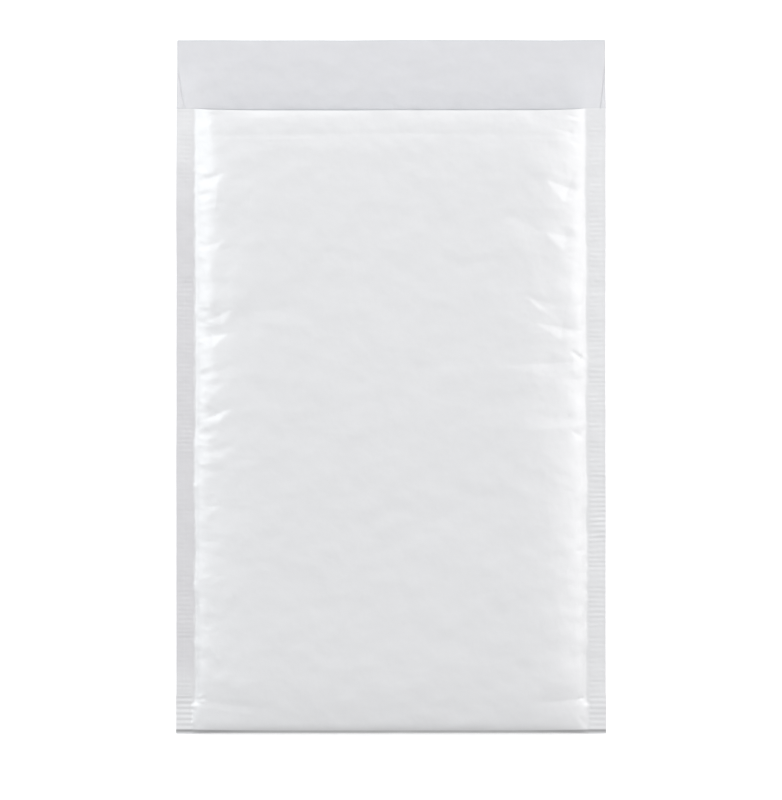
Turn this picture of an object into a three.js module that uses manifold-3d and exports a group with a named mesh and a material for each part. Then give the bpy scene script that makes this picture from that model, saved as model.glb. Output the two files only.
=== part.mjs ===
// A padded envelope (bubble-lined mailer), 240 x 350 mm outside, lying empty on its back with its flap open.
// One sheet of white kraft paper is folded at the bottom edge into a back panel, a front panel and a flap.
// One folded sheet of bubble film lines it, and both are welded together along the two side seals.
// The flap carries a strip of hot-melt adhesive under a release liner, which spans nearly the whole flap.
// Units are millimetres. +X runs across the width, +Y towards the flap and +Z up from the surface it lies on.
// The origin is the centre of the footprint, on that surface.
import * as THREE from "three";
import { mergeVertices } from "three/addons/utils/BufferGeometryUtils.js";
import Module from "manifold-3d";

const wasm = await Module();
wasm.setup();

// Driving dimensions
const OUTER_WIDTH = 240;
const POCKET_LENGTH = 350; // bottom fold to mouth
const FLAP_LENGTH = 39;
const SEAL_WIDTH = 10;
const SEAL_THICKNESS = 0.45; // two papers with the welded film between them
const PAPER = 0.15;
const FILM_GAP = 0.2; // between the paper and the bubble film
const THICKNESS = 12; // the puffed envelope at its middle
const SEAL_HEIGHT = 4; // the side seals' middle, above the surface
const POCKET_GAP = 5.2; // the space between the two layers of bubble film

// Places worked out from them
const BOTTOM_Y = -(POCKET_LENGTH + FLAP_LENGTH) / 2;
const MOUTH_Y = BOTTOM_Y + POCKET_LENGTH;
const FLAP_Y = MOUTH_Y + FLAP_LENGTH;
const HALF_PAD = OUTER_WIDTH / 2 - SEAL_WIDTH;
const MIDDLE_Z = THICKNESS / 2;

// Rounding of the pad's edges
const FRONT_SHOULDER = 12;
const BACK_SHOULDER = 18;
const BOTTOM_ROUNDING = 9;
const ARC_SEGMENTS = 6;
const FOLD_HEIGHT_SHARE = 0.06; // of the full height, where the fold closes
const MOUTH_SLOPE_LENGTH = 18; // the front dips towards the mouth over this length
const MOUTH_FRONT_SHARE = 0.72; // of the front's height that is left at the mouth
const MOUTH_ROWS = 4;

const FILM_FOLD = 3; // the film's thickness round its fold at the bottom
const FILM_SET_BACK = 2; // from the paper's edge at the mouth
const FLAP_RAMP = 26; // the flap's sides come down from the seals to the surface over this length
const FLAP_ROW = 1; // close rows, so that the layers on the flap lie parallel on the twisted ramp

// Distances from the mouth, and heights over the flap's lower face
const ADHESIVE = { from: 10, to: 34, low: 0.18, high: 0.28 };
const LINER = { from: 0.5, to: 38, low: 0.31, high: 0.39 };

// A closed geometry as a manifold-3d solid, and back.
function solidOf(geometry) {
  const bare = geometry.clone();
  bare.deleteAttribute("normal");
  bare.deleteAttribute("uv");
  const merged = mergeVertices(bare, 1e-4);
  return new wasm.Manifold(
    new wasm.Mesh({
      numProp: 3,
      vertProperties: merged.attributes.position.array,
      triVerts: new Uint32Array(merged.index.array),
    }),
  );
}

function geometryOf(solid) {
  const mesh = solid.getMesh();
  const geometry = new THREE.BufferGeometry();
  geometry.setAttribute("position", new THREE.BufferAttribute(mesh.vertProperties, 3));
  geometry.setIndex(new THREE.BufferAttribute(mesh.triVerts, 1));
  geometry.computeVertexNormals();
  return geometry;
}

// Moves every vertex of a geometry to where place(x, y, z) says.
function bent(geometry, place) {
  const position = geometry.attributes.position;
  for (let i = 0; i < position.count; i++) {
    position.setXYZ(i, ...place(position.getX(i), position.getY(i), position.getZ(i)));
  }
  return geometry;
}

// A section across the width, extruded through the rows y = 0, -1, -2 and so on, to be moved to their places.
function extrudedRows(section, rows) {
  const options = { depth: rows - 1, steps: rows - 1, bevelEnabled: false };
  return new THREE.ExtrudeGeometry(section, options).rotateX(Math.PI / 2);
}

// Half the pad's section: quarter ellipses at the sides and a flat between them.
// halfWidth is where the front and back meet, at height z, and rise is negative for the back.
function edgePoints(halfWidth, z, shoulder, rise) {
  const left = [];
  for (let i = 0; i <= ARC_SEGMENTS; i++) {
    const angle = (i / ARC_SEGMENTS) * (Math.PI / 2);
    left.push(new THREE.Vector2(-halfWidth + shoulder * (1 - Math.cos(angle)), z + rise * Math.sin(angle)));
  }
  const right = left.map((p) => new THREE.Vector2(-p.x, p.y)).reverse();
  return [...left, ...right];
}

// How far a pad that closes at bottomY has risen at y, from nearly 0 at its fold to 1.
function bottomRise(y, bottomY, rounding) {
  const into = Math.min(1, (y - bottomY) / rounding);
  return Math.max(FOLD_HEIGHT_SHARE, Math.sqrt(1 - (1 - into) ** 2));
}

// The front's share of its height near the mouth.
function mouthRise(y) {
  const share = THREE.MathUtils.clamp((MOUTH_Y - y) / MOUTH_SLOPE_LENGTH, 0, 1);
  return THREE.MathUtils.lerp(MOUTH_FRONT_SHARE, 1, Math.sin((share * Math.PI) / 2));
}

// A pillow-shaped solid: its section is swept from the mouth to the bottom, where it rounds off to a fold.
function pillow({ halfWidth, z, front, back, frontShoulder, backShoulder, bottomY, rounding, mouthY, dips }) {
  const section = new THREE.Shape([
    ...edgePoints(halfWidth, z, frontShoulder, front),
    ...edgePoints(halfWidth, z, backShoulder, -back).reverse().slice(1, -1),
  ]);
  const stations = [mouthY];
  for (let i = 0; i <= MOUTH_ROWS; i++) {
    stations.push(MOUTH_Y - THREE.MathUtils.lerp(FILM_SET_BACK, MOUTH_SLOPE_LENGTH, i / MOUTH_ROWS));
  }
  for (let i = ARC_SEGMENTS; i >= 0; i--) {
    stations.push(bottomY + rounding * (1 - Math.cos((i / ARC_SEGMENTS) * (Math.PI / 2))));
  }
  const rows = stations.filter((y, i) => i === 0 || y < stations[i - 1] - 0.01);
  return bent(extrudedRows(section, rows.length), (x, row, height) => {
    const y = rows[Math.round(-row)];
    const share = bottomRise(y, bottomY, rounding) * (height > z && dips ? mouthRise(y) : 1);
    return [x, y, z + (height - z) * share];
  });
}

// The pillow of the envelope's outer face, taken in all round by inset.
function padShape(inset, mouthY) {
  return pillow({
    halfWidth: HALF_PAD - inset,
    z: SEAL_HEIGHT,
    front: THICKNESS - SEAL_HEIGHT - inset,
    back: SEAL_HEIGHT - inset,
    frontShoulder: FRONT_SHOULDER - inset,
    backShoulder: BACK_SHOULDER - inset,
    bottomY: BOTTOM_Y + inset,
    rounding: BOTTOM_ROUNDING - inset,
    mouthY,
    dips: true,
  });
}

// The room inside the film, where the contents go.
function pocketShape(mouthY) {
  const inside = HALF_PAD - PAPER - FILM_GAP - FILM_FOLD;
  return pillow({
    halfWidth: inside,
    z: MIDDLE_Z,
    front: POCKET_GAP / 2,
    back: POCKET_GAP / 2,
    frontShoulder: 6,
    backShoulder: 6,
    bottomY: BOTTOM_Y + PAPER + FILM_GAP + FILM_FOLD,
    rounding: 3,
    mouthY,
    dips: false,
  });
}

// The back panel's outer face above the surface at x, up to the underside of the side seals.
function backFace(x) {
  const into = THREE.MathUtils.clamp((HALF_PAD - Math.abs(x)) / BACK_SHOULDER, 0, 1);
  const rise = SEAL_HEIGHT * (1 - Math.sqrt(1 - (1 - into) ** 2));
  return Math.min(rise, SEAL_HEIGHT - SEAL_THICKNESS / 2);
}

// A layer over the flap from low to high above the back panel's outer face, which the flap goes on from.
// At the mouth its sides stand at the seals' height, and they ramp down to the surface along the flap.
function flapLayer(fromY, toY, low, high) {
  const shoulders = edgePoints(HALF_PAD, 0, BACK_SHOULDER, 0).map((point) => point.x);
  const across = [-OUTER_WIDTH / 2, ...shoulders, OUTER_WIDTH / 2];
  const faceAt = (height) => across.map((x) => new THREE.Vector2(x, backFace(x) + height));
  const section = new THREE.Shape([...faceAt(low), ...faceAt(high).reverse()]);
  const rampEnd = MOUTH_Y + FLAP_RAMP;
  const rows = [toY];
  for (let y = rampEnd; y > fromY; y -= FLAP_ROW) if (y < toY) rows.push(y);
  rows.push(fromY);
  return bent(extrudedRows(section, rows.length), (x, row, height) => {
    const y = rows[Math.round(-row)];
    const fallen = THREE.MathUtils.clamp((y - MOUTH_Y) / FLAP_RAMP, 0, 1);
    return [x, y, height - backFace(x) * fallen];
  });
}

// One side seal: both papers and the film between them, welded flat and reaching into the pad's edge.
function sideSeal(side) {
  const reach = 1;
  const seal = new THREE.BoxGeometry(SEAL_WIDTH + reach, POCKET_LENGTH, SEAL_THICKNESS);
  return seal.translate(side * (HALF_PAD + (SEAL_WIDTH - reach) / 2), (BOTTOM_Y + MOUTH_Y) / 2, SEAL_HEIGHT);
}

// The paper: pillow, seals and flap joined, with the room for the lining cut out of it.
function paperJacket() {
  const overlap = 1;
  const body = solidOf(padShape(0, MOUTH_Y))
    .add(solidOf(sideSeal(-1)))
    .add(solidOf(sideSeal(1)))
    .add(solidOf(flapLayer(MOUTH_Y - overlap, FLAP_Y, 0, PAPER)));
  return body.subtract(solidOf(padShape(PAPER, MOUTH_Y + overlap)));
}

// The bubble film: a folded pad that fills the paper but for the pocket.
function bubbleLining() {
  const mouthY = MOUTH_Y - FILM_SET_BACK;
  return solidOf(padShape(PAPER + FILM_GAP, mouthY)).subtract(solidOf(pocketShape(mouthY + 1)));
}

function flapStrip({ from, to, low, high }) {
  return flapLayer(MOUTH_Y + from, MOUTH_Y + to, low, high);
}

function piece(name, geometry, color, roughness) {
  const mesh = new THREE.Mesh(geometry, new THREE.MeshStandardMaterial({ color, roughness, metalness: 0 }));
  mesh.name = name;
  return mesh;
}

const envelope = new THREE.Group();
envelope.add(
  piece("paper_jacket", geometryOf(paperJacket()), 0xe6e8ea, 0.45),
  piece("bubble_lining", geometryOf(bubbleLining()), 0xe3e9ee, 0.2),
  piece("flap_adhesive", flapStrip(ADHESIVE), 0xe8e4d2, 0.3),
  piece("release_liner", flapStrip(LINER), 0xe0e1e4, 0.5),
);

export default envelope;
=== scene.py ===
"""A white padded envelope lying on its back with its flap open.

The pieces are worked out in millimetres and placed in metres. The camera, lights and table are in metres.
+X runs across the envelope, +Y from its bottom fold towards the flap, and +Z up from the table.
"""

import math
import random

import bmesh
import bpy
import numpy as np
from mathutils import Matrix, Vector, noise


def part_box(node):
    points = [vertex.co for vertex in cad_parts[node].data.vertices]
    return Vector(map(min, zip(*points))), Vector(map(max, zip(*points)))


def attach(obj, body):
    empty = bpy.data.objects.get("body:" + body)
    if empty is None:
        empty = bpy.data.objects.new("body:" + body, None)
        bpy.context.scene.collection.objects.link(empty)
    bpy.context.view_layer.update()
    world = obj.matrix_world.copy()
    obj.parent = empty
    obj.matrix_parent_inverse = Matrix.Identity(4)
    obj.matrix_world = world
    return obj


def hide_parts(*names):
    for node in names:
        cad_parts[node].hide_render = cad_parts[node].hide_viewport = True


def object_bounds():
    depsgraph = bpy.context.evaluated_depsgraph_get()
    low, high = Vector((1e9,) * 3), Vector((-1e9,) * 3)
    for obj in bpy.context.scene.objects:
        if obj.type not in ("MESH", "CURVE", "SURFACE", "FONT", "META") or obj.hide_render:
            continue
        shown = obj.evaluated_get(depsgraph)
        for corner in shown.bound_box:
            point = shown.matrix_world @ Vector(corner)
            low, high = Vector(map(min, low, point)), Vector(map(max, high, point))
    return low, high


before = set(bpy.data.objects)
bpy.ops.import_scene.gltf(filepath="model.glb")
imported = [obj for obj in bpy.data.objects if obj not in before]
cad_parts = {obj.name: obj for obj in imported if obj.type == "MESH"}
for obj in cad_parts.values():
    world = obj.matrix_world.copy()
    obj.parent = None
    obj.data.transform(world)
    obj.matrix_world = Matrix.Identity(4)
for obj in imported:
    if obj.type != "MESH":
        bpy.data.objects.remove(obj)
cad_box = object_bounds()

# --------------------------------------------------------------------------------------------------
# Camera and studio.
# The camera looks straight down on the envelope. Two softboxes stand low at its sides and a wide one past its
# flap, so the flat paper stays even and the rounded sides catch the light. The table is a plain white sheet.

scene = bpy.context.scene
scene.view_settings.view_transform = "Standard"
scene.view_settings.look = "None"

lens = 100.0
sensor = 36.0
view_length = 0.4475  # from the top to the bottom of the view, on a plane as high as the side seals
view_plane = 0.004
view_middle = -0.0076  # a little nearer the bottom fold than the envelope's own middle
camera_distance = view_length * lens / sensor

camera = bpy.data.objects.new("camera", bpy.data.cameras.new("camera"))
camera.data.lens = lens
camera.data.sensor_width = sensor
camera.location = (0, view_middle, camera_distance + view_plane)
scene.collection.objects.link(camera)
scene.camera = camera


def softbox(name, place, size, power, aim, color=(1, 1, 1)):
    """A soft rectangular lamp turned to its aim, which the camera doesn't see."""
    lamp = bpy.data.lights.new(name, "AREA")
    lamp.shape = "RECTANGLE"
    lamp.size, lamp.size_y = size
    lamp.energy = power
    lamp.color = color
    holder = bpy.data.objects.new(name, lamp)
    holder.location = place
    facing = Vector(aim) - Vector(place)
    holder.rotation_euler = facing.to_track_quat("-Z", "X" if place[0] else "Y").to_euler()
    holder.visible_camera = False
    scene.collection.objects.link(holder)


softbox("softbox_top", (0, 2.8, 3.2), (4.0, 2.2), 55.5, (0, 0, 0))
softbox("softbox_left", (-2.4, 1.05, 1.7), (2.9, 2.8), 63, (0, 1.05, 0), (0.95, 0.985, 1.0))
softbox("softbox_right", (2.4, 0.85, 1.7), (2.9, 2.8), 60.6, (0, 0.85, 0))

room_light = 0.31
studio = bpy.data.worlds.new("studio")
studio.use_nodes = True
studio.node_tree.nodes["Background"].inputs["Color"].default_value = (1, 1, 1, 1)
studio.node_tree.nodes["Background"].inputs["Strength"].default_value = room_light
scene.world = studio

table_reach = 40  # from its middle, so that it fills the view from every side
table_drop = 0.0002  # under the envelope, so that their faces don't meet
table_glow = 0.42  # keeps the sheet an even white

table_mesh = bmesh.new()
bmesh.ops.create_grid(table_mesh, x_segments=2, y_segments=2, size=table_reach)
bmesh.ops.translate(table_mesh, verts=table_mesh.verts, vec=(0, 0, -table_drop))
table_data = bpy.data.meshes.new("table")
table_mesh.to_mesh(table_data)
table_mesh.free()
table = bpy.data.objects.new("table", table_data)

table_sheet = bpy.data.materials.new("table_sheet")
table_sheet.use_nodes = True
sheet_shader = table_sheet.node_tree.nodes["Principled BSDF"]
sheet_shader.inputs["Base Color"].default_value = (0.97, 0.97, 0.97, 1)
sheet_shader.inputs["Roughness"].default_value = 0.9
sheet_shader.inputs["Emission Color"].default_value = (1, 1, 1, 1)
sheet_shader.inputs["Emission Strength"].default_value = table_glow
table_data.materials.append(table_sheet)
scene.collection.objects.link(table)

# --------------------------------------------------------------------------------------------------
# Paper jacket.
# One sheet of coated white kraft paper: the flap, the back panel, the fold at the bottom and the front panel.
# It is folded round the bubble film and welded to itself through the film along both long sides.

envelope_low, envelope_high = (corner * 1000 for corner in cad_box)
film_set_back = 2  # from the paper's edge at the mouth
lining_mouth = (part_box("bubble_lining")[1] * 1000).y
bottom_y = envelope_low.y
mouth_y = lining_mouth + film_set_back
flap_y = envelope_high.y
pad_top = envelope_high.z
pad_half = 110  # half the width between the side seals
paper_thickness = 0.15
seal_thickness = 0.45
seal_height = 4.0  # of the seals' middle above the table
bottom_rounding = 7.2
flap_ramp = 26.0  # the flap's sides come down to the table over this length
corner_step = 18.2  # up from the bottom fold, where the pad narrows above its deeply ribbed corners
deep_ribs = 23  # up from the bottom fold, where the seals' deeper ribs end


def ease(t):
    t = np.clip(t, 0, 1)
    return t * t * (3 - 2 * t)


def quarter_round(t):
    """Climbs as a quarter circle does, upright at 0 and level from 1 on."""
    return np.sqrt(1 - (1 - np.clip(t, 0, 1)) ** 2)


def waves(x, y, size, seed):
    """Soft random waves of about that size, from -1 to 1."""
    return np.array([noise.noise(Vector((a / size, b / size, seed))) for a, b in zip(x, y)])


def side_waves(x, y, apart, size, seed):
    """Waves along a side of the envelope, the same all across it and different on the left and the right."""
    return waves(np.sign(x) * apart, y, size, seed)


def seal_edge(x, y):
    """Half the pad's width, to where the side seals begin. The line wanders a little."""
    near = np.exp(-np.maximum(pad_half - np.abs(x), 0) / 3.2)
    corner = 2 * ease((bottom_y + corner_step - y) / 2.4) * near
    left = pad_half + 0.1 + 0.5 * corner
    right = pad_half - 0.3 + 0.7 * corner - 0.6 * ease((y - 90) / 30)
    wander = 1.4 * side_waves(x, y, 40, 23, 3.1) + 1.3 * side_waves(x, y, 60, 9, 5.3) * near
    wander += 0.7 * side_waves(x, y, 80, 3.5, 9.6) * near**2
    return np.where(x < 0, left, right) + wander * near


def seal_level(x, y):
    """The height of the seals' middle, where the front and back panels part. The left seal curls up."""
    outward = np.maximum(np.abs(x) - (pad_half - 1), 0)
    left = 1.45 * (1 - np.exp(-outward / 5.5))
    right = 0.2 * ease((outward - 9.4) / 1.6) - 0.03 * outward
    curl = np.where(x < 0, left, right) * ease((y - bottom_y - 14) / 12)
    return seal_height + curl * ease((mouth_y - y + 4) / 40) + 0.35 * side_waves(x, y, 30, 60, 7.7)


def half_seal(y):
    """Half the seals' thickness, which is taken up by the round of the fold at the very bottom."""
    return seal_thickness / 2 * np.sqrt(np.clip((y - bottom_y) / 2.5, 0, 1))


# The pad's sides climb steeply from the seals and bend over to its flat, latest on the left's upper half
rise_steps = np.arange(0, 70, 0.2)
long_bend = 0.19 * np.exp(-((rise_steps / 34) ** 2))
late_slope = 0.56 * (1 - ease((rise_steps - 1.5) / 12)) + long_bend
short_slope = 0.75 * np.exp(-((rise_steps / 3.6) ** 1.4)) + long_bend
right_slope = 0.6 * np.exp(-((rise_steps / 4.5) ** 1.4)) + long_bend
late_rise, short_rise, right_rise = (
    np.cumsum(slope * ease(rise_steps / onset)) / np.sum(slope * ease(rise_steps / onset))
    for slope, onset in ((late_slope, 1.4), (short_slope, 1.4), (right_slope, 2.6))
)


def side_rise(x, y, inward):
    """The pad's share of its full height at that distance in from a seal."""
    late, short, right = (np.interp(inward, rise_steps, rise) for rise in (late_rise, short_rise, right_rise))
    return np.where(x < 0, late + (short - late) * ease((20 - y) / 80), right)


def fold_rise(y):
    """The pad's share of its full height at that distance up from the bottom fold."""
    up = np.maximum(y - bottom_y, 0)
    wide = 1 - np.exp(-((up / 17.0) ** 1.4))
    return 0.66 * quarter_round(up / bottom_rounding) + 0.34 * wide


def by_line(x, y, start, end):
    """Where points lie by a line: from 0 to 1 along it, and how many millimetres to its left."""
    run = np.array(end) - np.array(start)
    length = np.linalg.norm(run)
    along = ((x - start[0]) * run[0] + (y - start[1]) * run[1]) / length**2
    beside = ((y - start[1]) * run[0] - (x - start[0]) * run[1]) / length
    return along, beside


def pucker(x, y, root, tip, depth, below, above):
    """A fold that the seal gathers: a line from root, at the pad's side, to its tip, with a facet below it.

    The facet is a triangle that reaches nearly that far below the line halfway along. The paper above the
    line falls softly to it.
    """
    along, left = by_line(x, y, root, tip)
    beside = left * np.sign(tip[0] - root[0])
    reach = np.minimum(1.6 * (along + 0.14), 1.6 * (1 - along))
    facet = reach + np.minimum(beside, 0) / below
    facet = 0.5 * (facet + np.sqrt(facet**2 + 0.003))
    fall = np.exp(-np.maximum(beside, 0) / (above * (0.35 + 0.65 * np.clip(reach, 0, 1))))
    return -depth * facet * fall * ease((facet - 0.02) / 0.08)


def dent(x, y, start, end, depth, width):
    """A soft trough between two points, or a soft ridge where its depth is negative."""
    along, beside = by_line(x, y, start, end)
    strength = ease((along + 0.2) / 0.45) * (1 - ease((along - 0.75) / 0.45))
    return -depth * strength * np.exp(-np.sqrt((beside / width) ** 2 + 0.04) + 0.2)


# Where the paper puckers along the seals: root, tip, depth, and the reach of the facet and of the fall
left_puckers = [
    ((-108.5, 114.3), (-92.3, 118.9), 1.02, 7.5, 6.0),
    ((-109, 106.2), (-99, 108.3), 0.31, 3.5, 3.0),
    ((-106, 77.5), (-92, 82), 0.61, 6.0, 6.0),
    ((-102, 37.0), (-88, 43.0), 0.85, 6.0, 9.0),
    ((-107.5, 26.6), (-90.5, 29.4), 1.32, 7.2, 7.0),
    ((-106, 13.0), (-91, 15.5), 0.2, 4.0, 5.0),
    ((-107, 5.5), (-92, 9.5), 0.2, 4.0, 5.0),
    ((-106, -1.5), (-88, 3.2), 0.24, 4.0, 4.5),
    ((-104.5, -18.2), (-88.5, -12.4), 0.95, 4.4, 9.0),
    ((-108, -27), (-98, -25.5), 0.22, 6.0, 5.0),
    ((-105, -37.8), (-86, -33.2), 0.42, 5.0, 8.0),
    ((-106, -48.5), (-90, -46.0), 0.1, 4.0, 4.0),
    ((-107, -66.3), (-93, -67.3), 0.36, 3.2, 4.0),
    ((-106, -88), (-91, -84), 0.09, 4.0, 4.0),
    ((-104, -108.8), (-90, -104.2), 0.16, 3.5, 4.0),
    ((-105, -139.5), (-90, -133.5), 0.2, 3.5, 4.0),
    ((-109, -152), (-99, -150), 0.15, 5.0, 3.0),
]
right_puckers = [
    ((108, 149.5), (97, 152.5), 0.3, 3.0, 2.0),
    ((107, 140.5), (90, 144.0), 0.35, 3.5, 3.0),
    ((108, 134.0), (98, 137.5), 0.25, 3.0, 2.5),
    ((109, 107.5), (86, 115.2), 1.08, 9.5, 9.0),
    ((106, 82.6), (86, 85.6), 0.61, 8.0, 5.0),
    ((92, 44.5), (74.5, 50.5), 0.41, 6.0, 6.0),
    ((106, 31.2), (81, 35.0), 0.95, 7.5, 7.0),
    ((110, 13.2), (99, 19.2), 0.26, 1.8, 3.0),
    ((109, 14.0), (62, 11.5), 0.62, 9.0, 9.0),
    ((109, -29.5), (100, -24.5), 0.42, 4.0, 2.5),
    ((108, -60), (95, -58), 0.1, 4.0, 5.0),
    ((109, -92.6), (102, -91), 0.27, 2.5, 2.0),
    ((108, -111), (94, -110), 0.14, 4.0, 4.0),
]
corner_puckers = [
    ((-111, -175.0), (-103, -173.6), 0.24, 2.2, 1.4),
    ((111, -175.4), (103, -174.2), 0.24, 2.2, 1.4),
    ((-111, -193), (-103, -183), 0.34, 3.0, 3.0),
    ((112, -193), (103, -183), 0.41, 3.0, 3.0),
]

# The longer, softer folds that run on into the pad from some of them: start, end, depth and width
pad_dents = [
    ((-86, 41.5), (-60, 42.5), 0.22, 3.6),
    ((-72, 36.0), (-46, 33.0), -0.12, 3.2),
    ((-97.6, 98.5), (-96.0, 113.5), -0.16, 0.8),
    ((-88, -40.5), (-66, -41.5), 0.16, 3.0),
    ((-101, -144), (-95, -154.5), -0.35, 1.8),
    ((87, 83.5), (64, 97.0), 0.32, 4.0),
    ((95, 75.5), (84.5, 86.0), -0.16, 1.4),
    ((87, 100), (74, 112), -0.16, 4.0),
    ((89, 41), (72, 53.5), 0.22, 3.5),
    ((87, 40.0), (75, 49.0), -0.14, 1.3),
    ((101, 19.5), (108.5, 14.6), 0.3, 0.9),
    ((104, -22.6), (68, -25.0), -0.15, 3.4),
    ((102, -18.0), (76, -16.0), 0.2, 4.0),
    ((-105, -176), (-66, -179.5), 0.34, 3.4),
    ((-101, -179.8), (-76, -183.2), -0.2, 2.2),
    ((105, -174.5), (82, -176), 0.45, 3.0),
    ((60, -176), (20, -179), 0.15, 4.0),
]

pucker_draw = random.Random(41)


def small_puckers(count, depth):
    """That many small puckers, at random along both seals."""
    found = []
    for _ in range(count):
        side = pucker_draw.choice((-1, 1))
        y = pucker_draw.uniform(bottom_y + 25, mouth_y - 25)
        reach = pucker_draw.uniform(5, 18)
        rise = pucker_draw.uniform(-3, 4)
        root_x = pad_half - 2
        root, tip = (side * root_x, y), (side * (root_x - reach), y + rise)
        size = pucker_draw.uniform(0.3, 1)
        found.append((root, tip, depth * size, 2 + 4 * size, 1.5 + 4 * size))
    return found


front_puckers = left_puckers + right_puckers + corner_puckers + small_puckers(50, 0.08)
back_puckers = small_puckers(44, 0.9)

# How far apart the seals' ribs and fine lines are
deep_pitch, left_pitch, right_pitch, line_pitch = 3.1, 2.65, 2.8, 1.5


def crimp(x, y):
    """The ribs that the sealing bars press across the side seals, deepest beside the bottom fold.

    Fine lines run along the seals too, and above the deep ribs the seals are a little buckled.
    """
    outward = np.abs(x) - pad_half
    inside = ease(outward / 1.2) * ease((10.2 - outward) / 0.8)
    deep = ease((bottom_y + deep_ribs - y) / 2)
    pitch = np.where(deep > 0.5, deep_pitch, np.where(x < 0, left_pitch, right_pitch))
    patchy = 0.9 + 0.6 * side_waves(x, y, 55, 42, 12.5) + 1.2 * waves(x * 0.4, y, 4, 3.3)
    left = 0.025 + 0.007 * ease((-20 - y) / 60)
    right = 0.03 + 0.018 * ease((60 - y) / 80) + 0.04 * np.exp(-(((y + 82) / 28) ** 2))
    pressed = np.where(x < 0, left, right) * np.clip(patchy, 0.3, 1.5)
    phase = 2 * np.pi * y / pitch + 2.4 * waves(x * 0.4, y, 9, 17.1) * (1 - deep)
    ribs = np.sin(phase) * inside * (pressed * (1 - deep) + np.where(x < 0, 0.125, 0.085) * deep)
    line_depth = np.where(x < 0, 0.05 * ease((outward - 4.5) / 1), 0.018)
    lines = line_depth * np.sin(2 * np.pi * outward / line_pitch) * inside
    buckle = (0.06 * waves(x * 0.5, y, 7, 21.5) + 0.03 * waves(x, y, 2.2, 27.4)) * inside
    ridge = np.where(x > 0, 0.16 * np.exp(-(((y - 13.2) / 0.9) ** 2)), 0) * inside
    return ribs + (lines + buckle + ridge) * (1 - deep)


def mouth_drop(x, y):
    """How far the front panel sinks towards its free edge at the mouth, with a faint crease below it."""
    down = np.maximum(mouth_y - y, 0)
    bend = 0.012 * np.abs(x) + 0.25 * waves(x, y * 0, 30, 4.3)
    strength = 0.8 + waves(x, y * 0, 40, 6.1)
    trough = 0.085 * np.exp(-(((down - 14.6 - bend) / 1.6) ** 2)) * strength
    rim = 0.05 * np.exp(-(((down - 17.4 - bend) / 0.65) ** 2)) * (strength - 0.2)
    sink = 0.84 * np.exp(-down / 6) + 0.6 * np.exp(-down / 26) + 0.22 * ease((25 - down) / 10)
    return sink + trough - rim * ease((np.abs(x) - 35) / 15)


def crumple(x, y, size, seed):
    """Waves with sharp ridges, longer across the envelope than along it, from 0 to 1."""
    return 1 - np.abs(waves(x * 0.55, y, size, seed)) * 2.2


def front_face(x, y):
    """The height of the front panel's outer face, with its swells, puckers and crumples, and of the seals."""
    inward = seal_edge(x, y) - np.abs(x)
    swing = 0.16 * side_waves(x, y, 70, 26, 8.3) + 0.04 * side_waves(x, y, 90, 8, 1.9)
    swing = 1 + swing * (0.4 + 0.6 * ease((y + 60) / 60)) + np.where(x < 0, 0, 0.2 * ease(-y / 60))
    rise = side_rise(x, y, inward * swing) * fold_rise(y)
    loft = pad_top - seal_height - seal_thickness / 2
    ripple = 0.3 * waves(x, y, 75, 1.3) + 0.1 * waves(x, y, 31, 5.9) + 0.026 * waves(x, y, 12, 9.2)
    ripple += 0.12 * crumple(x, y, 17, 4.7) * (0.2 + 0.8 * ease((np.abs(x) - 40) / 40))
    folds = sum(pucker(x, y, *fold) for fold in front_puckers) + sum(dent(x, y, *fold) for fold in pad_dents)
    near_seal = np.exp(-np.maximum(inward, 0) / 9) * ease(inward / 5)
    near_seal *= np.where(x < 0, 0.42 + 0.58 * ease((y + 90) / 60), 0.12 + 0.58 * ease((y + 60) / 80))
    folds += (crumple(x, y, 14, 2.4) - 0.5) * 0.55 * near_seal
    folds += (0.26 * crumple(x, y, 5.5, 6.2) + 0.12 * crumple(x, y, 3.2, 11.4)) * near_seal
    at_corner = np.exp(-(((np.abs(x) - 106.5) / 3) ** 2) - ((y - bottom_y - 20) / 2.5) ** 2)
    folds += 0.7 * waves(x, y, 2, 13.7) * at_corner
    puffed = rise * (loft - mouth_drop(x, y) + ripple)
    return seal_level(x, y) + half_seal(y) + puffed + folds * ease(inward / 3.5) * fold_rise(y) + crimp(x, y)


def back_face(x, y):
    """The height of the back panel's outer face, which lies on the table between the seals."""
    inward = np.maximum(seal_edge(x, y) - np.abs(x), 0)
    spread = (1 - np.exp(-((inward / 7.5) ** 1.4))) * quarter_round((y - bottom_y) / 7)
    folds = -sum(pucker(x, y, *fold) for fold in back_puckers) * ease(inward / 3.5) * np.exp(-inward / 12)
    under_seal = seal_level(x, y) - half_seal(y)
    return np.maximum(under_seal * (1 - spread) + crimp(x, y) * (1 - spread) + folds, 0)


def flap_face(x, y):
    """The height of the flap's lower face. A crease runs up the flap from each corner of the mouth."""
    beyond = np.maximum(y - mouth_y, 0)
    past = np.clip(beyond / flap_ramp, 0, 1)
    crease_x = np.where(x < 0, 115.4 + 4.5 * past**0.8, 117.0 + 2.9 * past**0.8)
    level = back_face(x, np.minimum(y, mouth_y)) * (1 - past) ** 1.1
    groove = -0.6 * np.maximum(1 - np.abs(np.abs(x) - crease_x) / 0.5, 0) * ease((1.1 - past) / 0.4)
    middle = ease((112 - np.abs(x)) / 14)
    scored = 0.12 * middle * (1 - np.exp(-beyond / 1.5)) + 0.12 * (1 - np.exp(-beyond / 6))
    ripple = 0.12 * (1 + waves(x, y, 38, 4.4)) * ease(past * 3)
    ripple = ripple + 0.12 * (1 + waves(x * 0.6, y, 14, 8.8)) * past + 0.03 * crumple(x, y, 9, 3.8) * past
    return np.maximum(level + groove + scored - 0.25 * ease((beyond - 6) / 36) + ripple, 0)


def edge_waves(x):
    """How unevenly the paper's cut edges run across the envelope."""
    return waves(x, np.full_like(x, 5.0), 45, 2.2)


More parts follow.
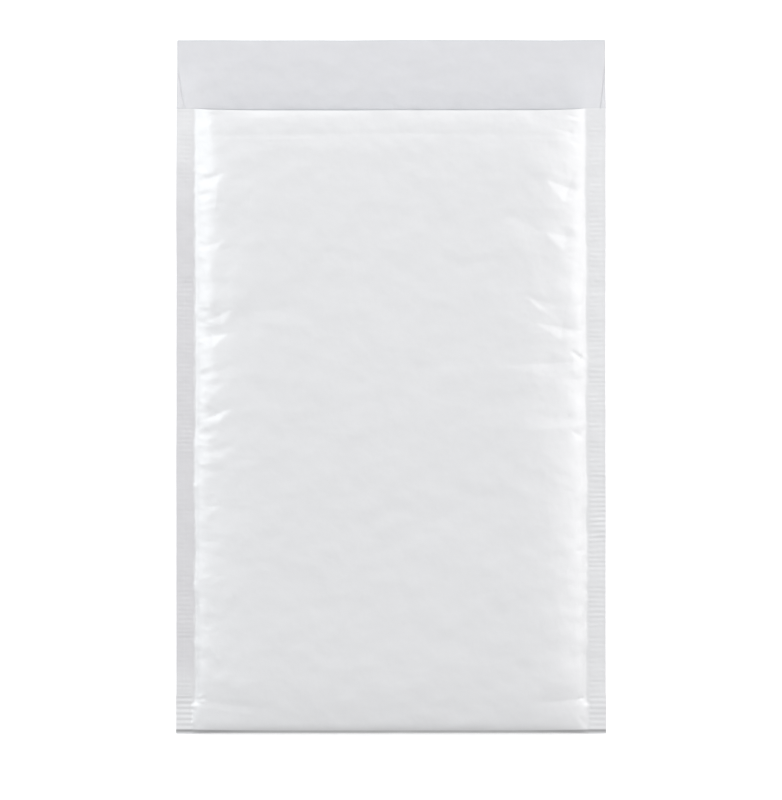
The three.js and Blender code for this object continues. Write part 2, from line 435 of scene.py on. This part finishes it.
def mouth_retreat(x, y):
    """How far the front panel's edge draws back from the mouth, as the pad's thickness takes up length."""
    drawn = 1.9 * side_rise(x, y, seal_edge(x, y) - np.abs(x)) * ease((y - mouth_y + 16) / 16)
    return drawn + 0.35 * edge_waves(x) * ease((y - mouth_y + 5) / 5)


def folded_sheet(x, panel, y):
    """The folded paper's outer face. panel is 0 on the back and the flap, and 1 on the front."""
    flap_wave = 0.5 * edge_waves(x) * ease((y - flap_y + 5) / 5)
    moved = np.where(panel > 0, mouth_retreat(x, y), flap_wave) - 0.22 * ease((bottom_y + 4 - y) / 4)
    widen = np.where(x < 0, 1, 1.0012) + 0.0022 * ease((bottom_y + (deep_ribs + 1) - y) / 4)
    widen += 0.0012 * side_waves(x, y, 20, 35, 6.6)
    join = ease((y - mouth_y + 3) / 6)
    back = back_face(x, np.minimum(y, mouth_y)) * (1 - join) + flap_face(x, np.maximum(y, mouth_y)) * join
    z = np.where(panel > 0, front_face(x, y), back)
    return x * widen, y - moved, z


def stations(*spans):
    """Places from each span's start to its end, in near-equal steps of the span's size."""
    places = [spans[0][0]]
    for start, end, step in spans:
        count = max(1, round(abs(end - start) / step))
        places += [start + (end - start) * (i + 1) / count for i in range(count)]
    return places


def both_sides(half):
    """Columns from the left edge to the right one, from those of the right half, which start at 0."""
    return [-x for x in reversed(half[1:])] + half


def place_at(number, places):
    """The place of a column or row, or a place between two of them, from its number."""
    return np.interp(number, np.arange(len(places)), places)


def sheet_grid(columns, rows):
    """A flat grid with one vertex for each column and row, numbered from 0 in X and Y."""
    mesh = bmesh.new()
    bmesh.ops.create_grid(mesh, x_segments=columns - 1, y_segments=rows - 1, size=0.5)
    for vertex in mesh.verts:
        vertex.co.x = round((vertex.co.x + 0.5) * (columns - 1))
        vertex.co.y = round((vertex.co.y + 0.5) * (rows - 1))
    return mesh


# The rows run from the flap's edge over the back panel, round the bottom fold and up the front panel
paper_columns = both_sides(
    stations((0, 60, 10), (60, 76, 2.7), (76, 94, 1.5), (94, 111, 0.8), (111, 120, 0.75))
)
fold_top = bottom_y + bottom_rounding
fold_steps = [bottom_rounding * (1 - math.cos(i / 9 * math.pi / 2)) for i in range(10)]
flap_rows = stations((flap_y, mouth_y, 1.5))
back_rows = stations((mouth_y, fold_top, 2.5))[1:-1]
fold_rows = [bottom_y + step for step in reversed(fold_steps)]
front_rows = stations((fold_top, mouth_y - 22, 0.85), (mouth_y - 22, mouth_y, 0.6))[1:]
first_front = len(flap_rows + back_rows + fold_rows)
paper_rows = flap_rows + back_rows + fold_rows + fold_rows[-2::-1] + front_rows
paper_mesh = sheet_grid(len(paper_columns), len(paper_rows))

# The flap's creases need closer columns
crease_columns = 8  # at each edge
flap_edges = []
for edge in paper_mesh.edges:
    a, b = (vertex.co for vertex in edge.verts)
    on_right = min(a.x, b.x) >= len(paper_columns) - 1 - crease_columns
    on_crease = on_right or max(a.x, b.x) <= crease_columns
    if a.y == b.y and on_crease and a.y < len(flap_rows):
        flap_edges.append(edge)
bmesh.ops.subdivide_edges(paper_mesh, edges=flap_edges, cuts=2, use_grid_fill=True)

# The ribs on the seals need closer rows than the pad does
seal_columns = sum(1 for x in paper_columns if x < -(pad_half + 0.5))


def seal_edges(low_row, high_row):
    """The grid's lengthwise edges on both side seals, between those rows."""
    picked = []
    for edge in paper_mesh.edges:
        a, b = (vertex.co for vertex in edge.verts)
        column, row = (a.x + b.x) / 2, (a.y + b.y) / 2
        on_seal = column < seal_columns or column > len(paper_columns) - 1 - seal_columns
        if a.x == b.x and on_seal and low_row < row < high_row:
            picked.append(edge)
    return picked


back_seals = seal_edges(len(flap_rows) - 1, first_front)
bmesh.ops.subdivide_edges(paper_mesh, edges=back_seals, cuts=2, use_grid_fill=True)
front_seals = seal_edges(first_front, len(paper_rows))
bmesh.ops.subdivide_edges(paper_mesh, edges=front_seals, cuts=1, use_grid_fill=True)


def shape_sheet(mesh, place):
    """Moves a grid's vertices from their column and row to where place says, from millimetres to metres."""
    at = np.array([vertex.co for vertex in mesh.verts])
    x, y, z = place(at[:, 0], at[:, 1])
    for vertex, a, b, c in zip(mesh.verts, x, y, z):
        vertex.co = (a / 1000, b / 1000, c / 1000)


def place_paper(column, row):
    panel = (row >= first_front - 0.999).astype(float)
    return folded_sheet(place_at(column, paper_columns), panel, place_at(row, paper_rows))


shape_sheet(paper_mesh, place_paper)


def finished_piece(name, mesh, materials, thickness=0.0, sharp=50, kept_share=1.0):
    """Makes the mesh an object, with a sheet's thickness added inside its outer face.

    A kept share under 1 thins the mesh to that share of its triangles, where it is flattest.
    """
    data = bpy.data.meshes.new(name)
    mesh.to_mesh(data)
    mesh.free()
    piece = bpy.data.objects.new(name, data)
    scene.collection.objects.link(piece)
    for material in materials:
        data.materials.append(material)
    if thickness:
        shell = piece.modifiers.new("thickness", "SOLIDIFY")
        shell.thickness = thickness / 1000
        shell.offset = -1
        shell.material_offset = 1
        shell.material_offset_rim = 1
        if kept_share < 1:
            piece.modifiers.new("thinning", "DECIMATE").ratio = kept_share
        depsgraph = bpy.context.evaluated_depsgraph_get()
        whole = bpy.data.meshes.new_from_object(piece.evaluated_get(depsgraph))
        piece.modifiers.clear()
        piece.data = whole
        bpy.data.meshes.remove(data)
        whole.name = name
    piece.data.shade_smooth()
    piece.data.set_sharp_from_angle(angle=math.radians(sharp))
    return piece


def cloud(group, scale, detail):
    """Noise of that many waves to the metre, by the place on the piece."""
    place = group.nodes.new("ShaderNodeTexCoord")
    texture = group.nodes.new("ShaderNodeTexNoise")
    texture.inputs["Scale"].default_value = scale
    texture.inputs["Detail"].default_value = detail
    group.links.new(place.outputs["Object"], texture.inputs["Vector"])
    return texture.outputs["Fac"]


def math_node(group, operation, *values):
    """One calculation on numbers and other nodes' outputs."""
    node = group.nodes.new("ShaderNodeMath")
    node.operation = operation
    for socket, value in zip(node.inputs, values):
        if isinstance(value, (int, float)):
            socket.default_value = value
        else:
            group.links.new(value, socket)
    return node.outputs[0]


def grain_group():
    """A faint cloudiness in the colour and the gloss, and a finely felted and softly cockled surface."""
    group = bpy.data.node_groups.new("surface_grain", "ShaderNodeTree")
    group.interface.new_socket("Colour", in_out="INPUT", socket_type="NodeSocketColor")
    group.interface.new_socket("Clouding", in_out="INPUT", socket_type="NodeSocketFloat")
    group.interface.new_socket("Smoothness", in_out="INPUT", socket_type="NodeSocketFloat")
    group.interface.new_socket("Colour", in_out="OUTPUT", socket_type="NodeSocketColor")
    group.interface.new_socket("Roughness", in_out="OUTPUT", socket_type="NodeSocketFloat")
    group.interface.new_socket("Height", in_out="OUTPUT", socket_type="NodeSocketFloat")
    given = group.nodes.new("NodeGroupInput")
    result = group.nodes.new("NodeGroupOutput")

    fine_formation = math_node(group, "MULTIPLY", cloud(group, 420, 2), 0.6)
    formation = math_node(group, "ADD", cloud(group, 90, 3), fine_formation)
    uneven = math_node(group, "SUBTRACT", formation, 0.8)
    shade = math_node(group, "MULTIPLY_ADD", uneven, given.outputs["Clouding"], 1.0)
    tint = group.nodes.new("ShaderNodeVectorMath")
    tint.operation = "SCALE"
    group.links.new(given.outputs["Colour"], tint.inputs[0])
    group.links.new(shade, tint.inputs["Scale"])
    group.links.new(tint.outputs[0], result.inputs["Colour"])

    roughness = math_node(group, "MULTIPLY_ADD", cloud(group, 260, 3), 0.16, given.outputs["Smoothness"])
    group.links.new(roughness, result.inputs["Roughness"])

    fibres = math_node(group, "MULTIPLY", cloud(group, 1500, 2), 0.35)
    felt = math_node(group, "ADD", fibres, cloud(group, 380, 3))
    wide_cockle = math_node(group, "MULTIPLY", cloud(group, 62, 1), 31.0)
    small_cockle = math_node(group, "MULTIPLY", cloud(group, 150, 1), 6.5)
    cockle = math_node(group, "ADD", wide_cockle, small_cockle)
    group.links.new(math_node(group, "ADD", felt, cockle), result.inputs["Height"])
    return group


surface_grain = grain_group()


def painted_shade_group():
    """Painted shade on the paper, from 0 to 1, by the place.

    The first output is painted shade on the left seal, beside the pad that shades it, and its edge wanders.
    The second is a thin line of painted shade along the underside of the bottom fold. Each is 1 where all its
    ramps have risen, and a ramp rises from its start to its end.
    """
    group = bpy.data.node_groups.new("painted_paper_shade", "ShaderNodeTree")
    result = group.nodes.new("NodeGroupOutput")
    place = group.nodes.new("ShaderNodeTexCoord")
    split = group.nodes.new("ShaderNodeSeparateXYZ")
    group.links.new(place.outputs["Object"], split.inputs[0])
    across = math_node(group, "MULTIPLY_ADD", cloud(group, 130, 2), 0.003, split.outputs["X"])
    along = split.outputs["Y"]
    # Painted shade on the left seal beside the pad, fading out towards the mouth and towards the bottom fold.
    left_seal_shade_ramps = ((across, -0.108, -0.1093), (along, mouth_y / 1000, 0.085), (along, -0.173, -0.15))
    fold = bottom_y / 1000
    # A thin line of painted shade along the underside of the bottom fold.
    fold_shade_ramps = ((along, fold + 0.0032, fold + 0.0022), (along, fold, fold + 0.0019))
    for name, ramps in (("SealShade", left_seal_shade_ramps), ("FoldShade", fold_shade_ramps)):
        group.interface.new_socket(name, in_out="OUTPUT", socket_type="NodeSocketFloat")
        mask = 1.0
        for value, start, end in ramps:
            ramp = group.nodes.new("ShaderNodeMapRange")
            ramp.interpolation_type = "SMOOTHSTEP"
            ramp.inputs["From Min"].default_value = start
            ramp.inputs["From Max"].default_value = end
            group.links.new(value, ramp.inputs["Value"])
            mask = math_node(group, "MULTIPLY", mask, ramp.outputs["Result"])
        group.links.new(mask, result.inputs[name])
    return group


def grained_material(name, color, clouding, smoothness, relief, coat=0.0, coat_roughness=0.3, specular=0.5):
    """A material of that colour with the surface grain, whose relief is in millimetres."""
    material = bpy.data.materials.new(name)
    material.use_nodes = True
    nodes, links = material.node_tree.nodes, material.node_tree.links
    shader = nodes["Principled BSDF"]
    grain = nodes.new("ShaderNodeGroup")
    grain.node_tree = surface_grain
    grain.inputs["Colour"].default_value = (*color, 1)
    grain.inputs["Clouding"].default_value = clouding
    grain.inputs["Smoothness"].default_value = smoothness
    bump = nodes.new("ShaderNodeBump")
    bump.inputs["Distance"].default_value = relief / 1000
    links.new(grain.outputs["Height"], bump.inputs["Height"])
    links.new(grain.outputs["Colour"], shader.inputs["Base Color"])
    links.new(grain.outputs["Roughness"], shader.inputs["Roughness"])
    links.new(bump.outputs["Normal"], shader.inputs["Normal"])
    shader.inputs["Coat Weight"].default_value = coat
    shader.inputs["Coat Roughness"].default_value = coat_roughness
    shader.inputs["Specular IOR Level"].default_value = specular
    return material


white_coating = (0.758, 0.757, 0.77)
bare_kraft = (0.65, 0.66, 0.68)
# The grey of the painted shade on the left seal.
left_seal_shade_grey = (0.9, 0.89, 0.9)
# The grey of the painted shade along the underside of the bottom fold.
fold_shade_grey = (0.5, 0.5, 0.5)
coated_face = grained_material(
    "coated_paper", white_coating, 0.02, 0.3, 0.03, coat=1.0, coat_roughness=0.35, specular=1.0
)
bare_face = grained_material("uncoated_paper", bare_kraft, 0.04, 0.62, 0.06, specular=0.3)

nodes, links = coated_face.node_tree.nodes, coated_face.node_tree.links
base_color = nodes["Principled BSDF"].inputs["Base Color"]
painted_paper_shade = nodes.new("ShaderNodeGroup")
painted_paper_shade.node_tree = painted_shade_group()
# Multiplies the painted shade into the paper's colour, on the left seal and along the bottom fold.
for painted_mask, grey in (("SealShade", left_seal_shade_grey), ("FoldShade", fold_shade_grey)):
    darker = nodes.new("ShaderNodeMix")
    darker.data_type = "RGBA"
    darker.blend_type = "MULTIPLY"
    darker.inputs["B"].default_value = (*grey, 1)
    links.new(painted_paper_shade.outputs[painted_mask], darker.inputs["Factor"])
    links.new(base_color.links[0].from_socket, darker.inputs["A"])
    links.new(darker.outputs["Result"], base_color)

kept_paper = 0.56  # of its triangles, which leaves just under 200,000
paper_faces = [coated_face, bare_face]
jacket = finished_piece("envelope_paper", paper_mesh, paper_faces, paper_thickness, kept_share=kept_paper)
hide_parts("paper_jacket")
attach(jacket, "root")

# --------------------------------------------------------------------------------------------------
# Flap adhesive.
# A strip of hot-melt adhesive is laid across the whole flap while the paper is still one long web, so it runs
# out to both sides of the envelope.

adhesive_start, adhesive_end = 10.0, 34.0  # from the mouth, up the flap
adhesive_thickness = 0.1
adhesive_top = 0.12  # above the paper
hot_melt_cream = (0.78, 0.74, 0.6)
strip_half = 119.8  # half the strips' width, just short of the paper's edges
strip_columns = both_sides(stations((0, 96, 6), (96, 111, 1.5), (111, 114, 0.75), (114, strip_half, 0.25)))


def flap_layer(start, end, height):
    """A sheet over the flap, from start to end measured from the mouth, and that high above the paper."""
    rows = stations((mouth_y + start, mouth_y + end, 1.5))
    mesh = sheet_grid(len(strip_columns), len(rows))

    def place(column, row):
        x, y = place_at(column, strip_columns), place_at(row, rows)
        return x, y, flap_face(x, y) + paper_thickness + height(y)

    shape_sheet(mesh, place)
    return mesh


adhesive_mesh = flap_layer(adhesive_start, adhesive_end, lambda y: adhesive_top)
hot_melt = grained_material("hot_melt", hot_melt_cream, 0.12, 0.14, 0.03)
adhesive = finished_piece("adhesive_strip", adhesive_mesh, [hot_melt, hot_melt], adhesive_thickness)
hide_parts("flap_adhesive")
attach(adhesive, "root")

# --------------------------------------------------------------------------------------------------
# Release liner.
# A strip of thin siliconised paper covers the adhesive and nearly the whole flap, and is pulled off to close
# the envelope. It follows the flap, and stands a little higher where the adhesive lies under it.

liner_start, liner_end = 0.05, 38.0  # from the mouth, up the flap
liner_thickness = 0.06
liner_top = 0.16  # above the paper
liner_step = 0.08  # further up, over the adhesive
liner_slope = 3  # the length over which it steps up
liner_grey = (0.668, 0.666, 0.689)


def over_adhesive(y):
    """How high the liner's upper face stands above the paper."""
    from_mouth = y - mouth_y
    stepped_up = ease((from_mouth - adhesive_start + liner_slope) / liner_slope)
    stepped_down = ease((from_mouth - adhesive_end) / liner_slope)
    return liner_top + liner_step * (stepped_up * (1 - stepped_down))


liner_mesh = flap_layer(liner_start, liner_end, over_adhesive)
liner_face = grained_material("release_paper", liner_grey, 0.04, 0.5, 0.032, specular=0.35)
liner = finished_piece("liner_strip", liner_mesh, [liner_face, liner_face], liner_thickness)
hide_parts("release_liner")
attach(liner, "root")

# --------------------------------------------------------------------------------------------------
# Bubble lining.
# One sheet of polyethylene bubble film, folded at the bottom like the paper and welded into both side seals.
# Its air cells stand inwards, in staggered rows, and the film is clear enough to look milky where it doubles.

film_thickness = 0.1
film_gap = 0.1  # between the paper and the film
film_half = 109.4  # half the film's width, up to where it is welded in
film_fold = bottom_y + 4
film_clear = (0.9, 0.93, 0.95)
cell_pitch = 11.0
cell_radius = 4.8
cell_height = 2.6
cell_columns = 16
cell_sink = 0.03  # of a cell's base into the film
row_pitch = cell_pitch * math.sqrt(3) / 2


def film_back(x, y):
    return back_face(x, y) + paper_thickness + film_gap


def film_front(x, y):
    return front_face(x, y) - paper_thickness - film_gap


film_rows_back = stations((lining_mouth, film_fold, 6))
film_rows = film_rows_back + stations((film_fold, lining_mouth, 4))[1:]
film_columns = stations((-film_half, -92, 2.2), (-92, 92, 8), (92, film_half, 2.2))
film_mesh = sheet_grid(len(film_columns), len(film_rows))


def place_film(column, row):
    x, y = place_at(column, film_columns), place_at(row, film_rows)
    on_front = row >= len(film_rows_back) - 0.5
    z = np.where(on_front, film_front(x, y), film_back(x, y))
    return x, np.where(on_front, y - 1.2 * mouth_retreat(x, y), y), z


shape_sheet(film_mesh, place_film)


def air_cell():
    """One cell, a low dome on a closed base, with a radius of one unit and one unit high."""
    mesh = bmesh.new()
    bmesh.ops.create_circle(mesh, cap_ends=True, radius=1, segments=12)
    rim = mesh.edges[:]
    for radius, height in ((0.93, 0.55), (0.62, 0.93), (0.25, 1.0)):
        grown = bmesh.ops.extrude_edge_only(mesh, edges=rim)["geom"]
        ring = [item for item in grown if isinstance(item, bmesh.types.BMVert)]
        edges = [item for item in grown if isinstance(item, bmesh.types.BMEdge)]
        rim = [edge for edge in edges if all(v in ring for v in edge.verts)]
        middle = sum((v.co for v in ring), Vector()) / len(ring)
        reach = (ring[0].co - middle).length
        for v in ring:
            v.co = Vector((v.co.x / reach * radius, v.co.y / reach * radius, height))
    bmesh.ops.contextual_create(mesh, geom=rim)
    bmesh.ops.recalc_face_normals(mesh, faces=mesh.faces)
    data = bpy.data.meshes.new("air_cell")
    mesh.to_mesh(data)
    mesh.free()
    return data


cell = air_cell()


def add_cells(on_front):
    """Sets cells in staggered rows on one layer of the film, each bent to the film under it."""
    first = len(film_mesh.verts)
    y, shift = bottom_y + 13, 0.0
    while y < lining_mouth - cell_radius - 0.5:
        x = -cell_columns * cell_pitch / 2 + shift
        while x <= cell_columns * cell_pitch / 2:
            start = len(film_mesh.verts)
            film_mesh.from_mesh(cell)
            film_mesh.verts.ensure_lookup_table()
            to_place = (x / cell_radius, y / cell_radius, 0)
            bmesh.ops.translate(film_mesh, verts=film_mesh.verts[start:], vec=to_place)
            x += cell_pitch
        y += row_pitch
        shift = cell_pitch / 2 - shift
    cells = film_mesh.verts[first:]
    at = np.array([v.co for v in cells])
    x, y = at[:, 0] * cell_radius, at[:, 1] * cell_radius
    low, high = film_back(x, y) + film_thickness, film_front(x, y) - film_thickness
    grown = at[:, 2] * np.minimum(cell_height, 0.4 * (high - low)) - cell_sink
    z = high - grown if on_front else low + grown
    for v, a, b, c in zip(cells, x, y, z):
        v.co = (a / 1000, b / 1000, c / 1000)


bmesh.ops.solidify(film_mesh, geom=film_mesh.faces[:], thickness=film_thickness / 1000)
add_cells(on_front=False)
add_cells(on_front=True)
bmesh.ops.recalc_face_normals(film_mesh, faces=film_mesh.faces)
film_face = grained_material("bubble_film", film_clear, 0.1, 0.05, 0.01, coat=1.0, coat_roughness=0.06)
film_face.node_tree.nodes["Principled BSDF"].inputs["Transmission Weight"].default_value = 0.25
lining = finished_piece("bubble_film", film_mesh, [film_face], sharp=60)
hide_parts("bubble_lining")
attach(lining, "root")
